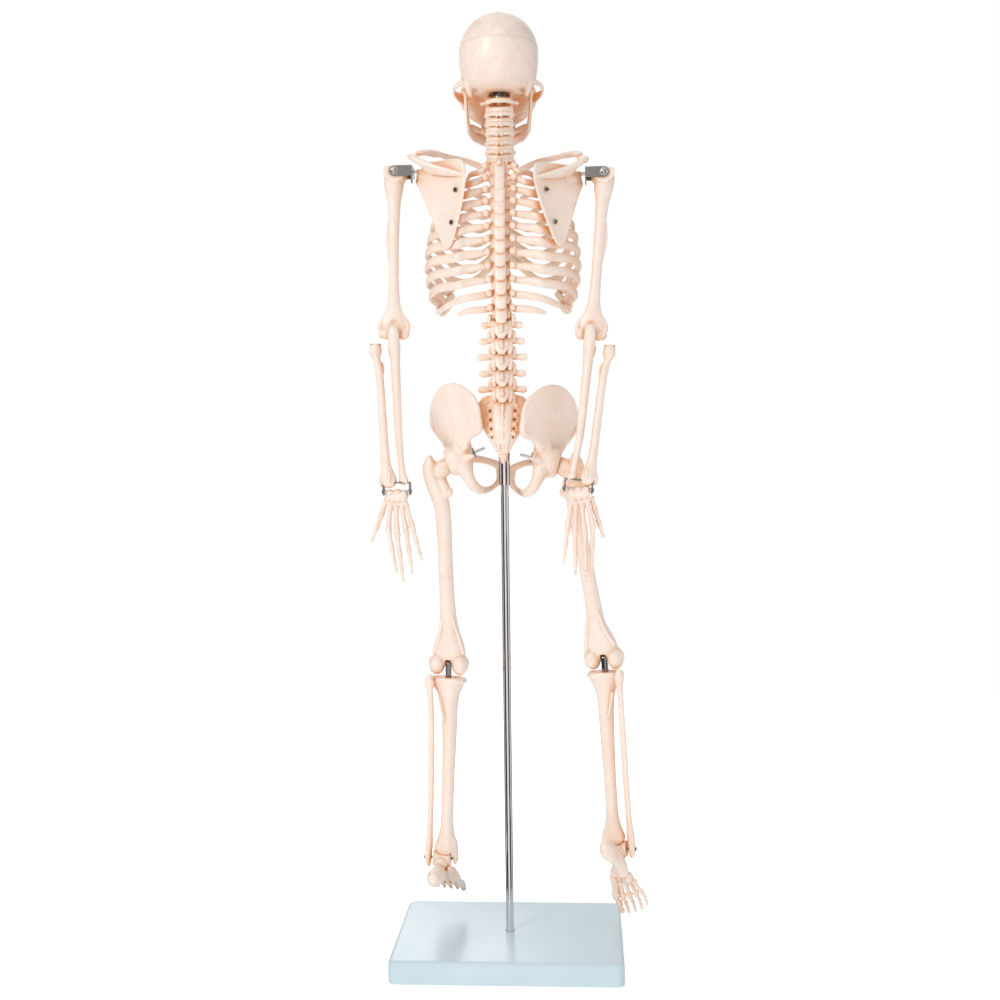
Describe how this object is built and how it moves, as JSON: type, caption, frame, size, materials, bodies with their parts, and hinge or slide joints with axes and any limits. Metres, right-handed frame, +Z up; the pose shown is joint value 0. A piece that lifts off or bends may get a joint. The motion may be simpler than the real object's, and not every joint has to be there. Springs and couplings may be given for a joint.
{
  "type": "human skeleton model",
  "caption": "Tabletop teaching model of a human skeleton hung on a chrome pole over a rectangular foot, with a lift-off skull cap, a hinged jaw and jointed limbs.",
  "frame": {"origin": "centre of the base's flat underside, on the pole's axis", "axes": "+Z up along the pole; the skeleton faces -Y; its own left side is at +X"},
  "size_m": [0.2509, 0.151, 0.85],
  "materials": {
    "base_plastic": "glossy moulded plastic",
    "chrome_tube": "bright plated tube",
    "bone_plastic": "ivory moulded plastic, soft sheen",
    "cartilage_plastic": "soft matt plastic",
    "dark_steel": "dark zinc fittings",
    "bright_steel": "plated screws and strips"
  },
  "bodies": {
    "stand": {"base": "base_plastic", "pole": "chrome_tube"},
    "torso": {"pole_sleeve": "chrome_tube", "cervical_spine": "bone_plastic", "thoracic_spine": "bone_plastic", "lumbar_spine": "bone_plastic", "sacrum": "bone_plastic", "rib_cage": "bone_plastic", "rib_11_left": "bone_plastic", "rib_11_right": "bone_plastic", "rib_12_left": "bone_plastic", "rib_12_right": "bone_plastic", "pubic_symphysis": "cartilage_plastic", "neck_bracket": "dark_steel", "hip_bone_left": "bone_plastic", "scapula_left": "bone_plastic", "clavicle_left": "bone_plastic", "hip_bone_right": "bone_plastic", "scapula_right": "bone_plastic", "clavicle_right": "bone_plastic"},
    "head": {"skull": "bone_plastic"},
    "skull_cap": {"skull_cap": "bone_plastic"},
    "jaw": {"mandible": "bone_plastic"},
    "shoulder_strap_left": {"shoulder_bracket_left": "dark_steel", "shoulder_bolt_left": "bright_steel"},
    "upper_arm_left": {"humerus_left": "bone_plastic"},
    "forearm_left": {"ulna_left": "bone_plastic", "radius_left": "bone_plastic", "wrist_bracket_left": "bright_steel"},
    "hand_left": {"hand_left": "bone_plastic"},
    "hip_link_left": {"hip_bolt_left": "dark_steel"},
    "thigh_left": {"femur_left": "bone_plastic", "patella_left": "bone_plastic"},
    "shank_left": {"knee_tab_left": "dark_steel", "tibia_left": "bone_plastic", "fibula_left": "bone_plastic", "ankle_bolt_left": "dark_steel"},
    "foot_left": {"foot_left": "bone_plastic"},
    "shoulder_strap_right": {"shoulder_bracket_right": "dark_steel", "shoulder_bolt_right": "bright_steel"},
    "upper_arm_right": {"humerus_right": "bone_plastic"},
    "forearm_right": {"ulna_right": "bone_plastic", "radius_right": "bone_plastic", "wrist_bracket_right": "bright_steel"},
    "hand_right": {"hand_right": "bone_plastic"},
    "hip_link_right": {"hip_bolt_right": "dark_steel"},
    "thigh_right": {"femur_right": "bone_plastic", "patella_right": "bone_plastic"},
    "shank_right": {"knee_tab_right": "dark_steel", "tibia_right": "bone_plastic", "fibula_right": "bone_plastic", "ankle_bolt_right": "dark_steel"},
    "foot_right": {"foot_right": "bone_plastic"}
  },
  "joints": [
    {"name": "pole_turn", "type": "hinge", "parent": "stand", "child": "torso", "pos_m": [0, 0, 0.5], "axis": [0, 0, 1], "range_deg": [-180, 180]},
    {"name": "head_turn", "type": "hinge", "parent": "torso", "child": "head", "pos_m": [0, 0.004, 0.771], "axis": [0, 0, 1], "range_deg": [-50, 50]},
    {"name": "skull_cap_lift", "type": "slide", "parent": "head", "child": "skull_cap", "axis": [0, 0, 1], "range_m": [0, 0.07]},
    {"name": "jaw_open", "type": "hinge", "parent": "head", "child": "jaw", "pos_m": [0.00142, -0.00198, 0.78], "axis": [0.9976, 0.0698, 0], "range_deg": [0, 24], "stiffness_Nm_per_rad": 0.02, "springref_deg": -17.19},
    {"name": "shoulder_swing_left", "type": "hinge", "parent": "torso", "child": "shoulder_strap_left", "pos_m": [0.0935, 0.0085, 0.709], "axis": [-1, 0, 0], "range_deg": [-40, 120]},
    {"name": "shoulder_raise_left", "type": "hinge", "parent": "shoulder_strap_left", "child": "upper_arm_left", "pos_m": [0.0935, 0.0085, 0.709], "axis": [0, -1, 0], "range_deg": [0, 80]},
    {"name": "elbow_bend_left", "type": "hinge", "parent": "upper_arm_left", "child": "forearm_left", "pos_m": [0.097, 0.009, 0.5665], "axis": [-0.9997, 0.0001, -0.0246], "range_deg": [0, 105]},
    {"name": "wrist_bend_left", "type": "hinge", "parent": "forearm_left", "child": "hand_left", "pos_m": [0.0964, 0.0095, 0.4255], "axis": [-1, 0, 0.0043], "range_deg": [-40, 40]},
    {"name": "hip_spread_left", "type": "hinge", "parent": "torso", "child": "hip_link_left", "pos_m": [0.0435, 0, 0.453], "axis": [0, -1, 0], "range_deg": [-4, 6]},
    {"name": "hip_swing_left", "type": "hinge", "parent": "hip_link_left", "child": "thigh_left", "pos_m": [0.0435, 0, 0.453], "axis": [-0.9272, 0, 0.3746], "range_deg": [-12, 75]},
    {"name": "knee_bend_left", "type": "hinge", "parent": "thigh_left", "child": "shank_left", "pos_m": [0.053, -0.001, 0.2665], "axis": [0.9969, -0.0706, 0.0354], "range_deg": [0, 90]},
    {"name": "ankle_bend_left", "type": "hinge", "parent": "shank_left", "child": "foot_left", "pos_m": [0.0596, 0.003, 0.0885], "axis": [-0.9969, 0.0706, -0.0354], "range_deg": [-15, 30]},
    {"name": "shoulder_swing_right", "type": "hinge", "parent": "torso", "child": "shoulder_strap_right", "pos_m": [-0.091, 0.01, 0.7035], "axis": [-1, 0, 0], "range_deg": [-40, 3]},
    {"name": "shoulder_raise_right", "type": "hinge", "parent": "shoulder_strap_right", "child": "upper_arm_right", "pos_m": [-0.091, 0.01, 0.7035], "axis": [0, 1, 0], "range_deg": [0, 80]},
    {"name": "elbow_bend_right", "type": "hinge", "parent": "upper_arm_right", "child": "forearm_right", "pos_m": [-0.079, 0.018, 0.5625], "axis": [-0.9964, 0.0048, -0.0845], "range_deg": [0, 6]},
    {"name": "wrist_bend_right", "type": "hinge", "parent": "forearm_right", "child": "hand_right", "pos_m": [-0.0665, 0.038, 0.4275], "axis": [-0.9958, 0.0134, -0.0902], "range_deg": [-40, 20]},
    {"name": "hip_spread_right", "type": "hinge", "parent": "torso", "child": "hip_link_right", "pos_m": [-0.0415, 0, 0.45], "axis": [0, 1, 0], "range_deg": [-8, 4]},
    {"name": "hip_swing_right", "type": "hinge", "parent": "hip_link_right", "child": "thigh_right", "pos_m": [-0.0415, 0, 0.45], "axis": [-0.9659, 0, -0.2588], "range_deg": [-4, 75]},
    {"name": "knee_bend_right", "type": "hinge", "parent": "thigh_right", "child": "shank_right", "pos_m": [-0.0885, -0.001, 0.2715], "axis": [0.9687, -0.241, -0.0588], "range_deg": [0, 90]},
    {"name": "ankle_bend_right", "type": "hinge", "parent": "shank_right", "child": "foot_right", "pos_m": [-0.098, 0.003, 0.0985], "axis": [-0.9687, 0.241, 0.0588], "range_deg": [-2, 45]}
  ]
}
